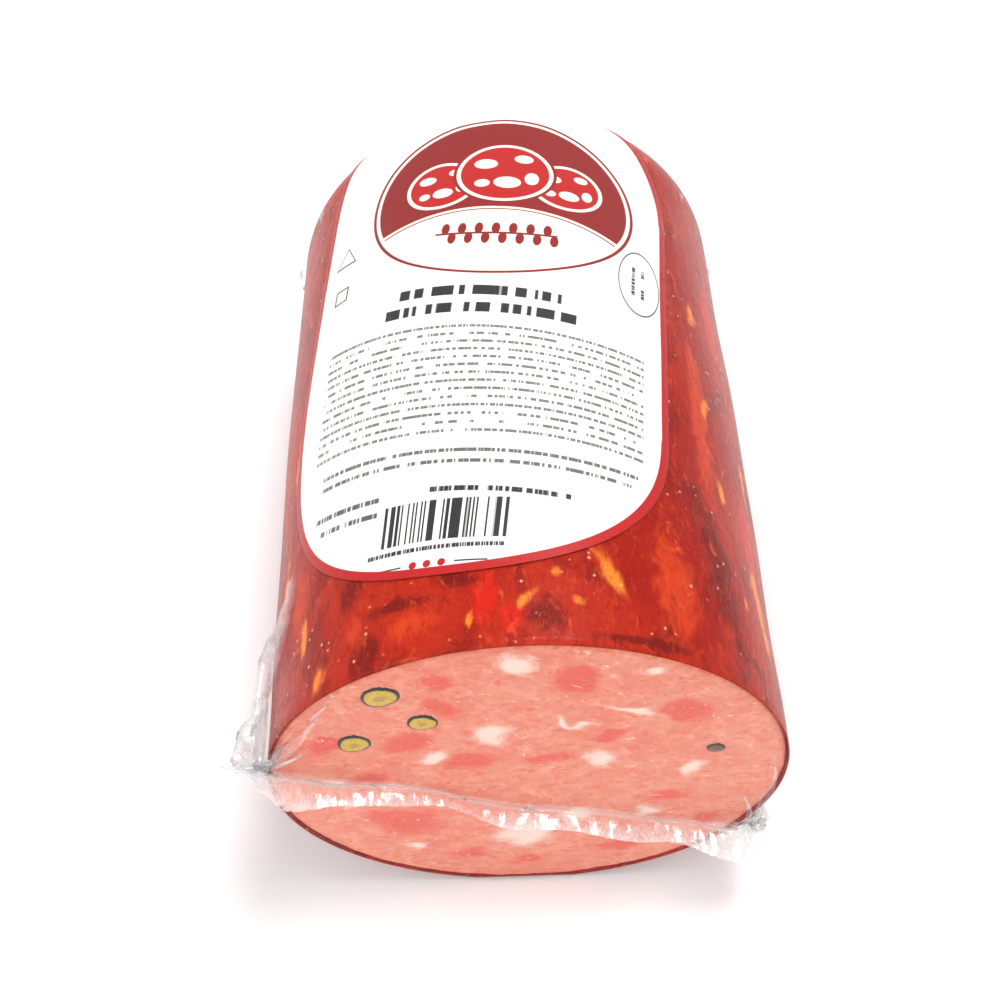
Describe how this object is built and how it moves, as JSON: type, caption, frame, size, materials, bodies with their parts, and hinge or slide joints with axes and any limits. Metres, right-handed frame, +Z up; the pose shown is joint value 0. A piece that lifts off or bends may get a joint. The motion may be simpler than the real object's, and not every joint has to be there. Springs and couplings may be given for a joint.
{
  "type": "cooked sausage half",
  "caption": "Cut end of a large cooked sausage in a smoked casing, with whole peppercorns, a paper label and a shrunk clear film bag.",
  "frame": {"origin": "on the surface that the sausage lies on, under its axis and the middle of its length", "axes": "+Y along the sausage from its cut face to its clipped end, +Z up, +X to the right as seen from the cut face"},
  "size_m": [0.1069, 0.183, 0.0914],
  "materials": {
    "meat": "moist",
    "casing": "satin",
    "pepper": "matte",
    "clip_metal": "satin",
    "label_paper": "smooth",
    "film": "clear"
  },
  "bodies": {
    "root": {"sausage_meat": "meat", "casing": "casing", "end_clip": "clip_metal", "label": "label_paper", "film_bag": "film", "peppercorn_1": "pepper", "peppercorn_2": "pepper", "peppercorn_3": "pepper", "peppercorn_4": "pepper"}
  },
  "joints": []
}
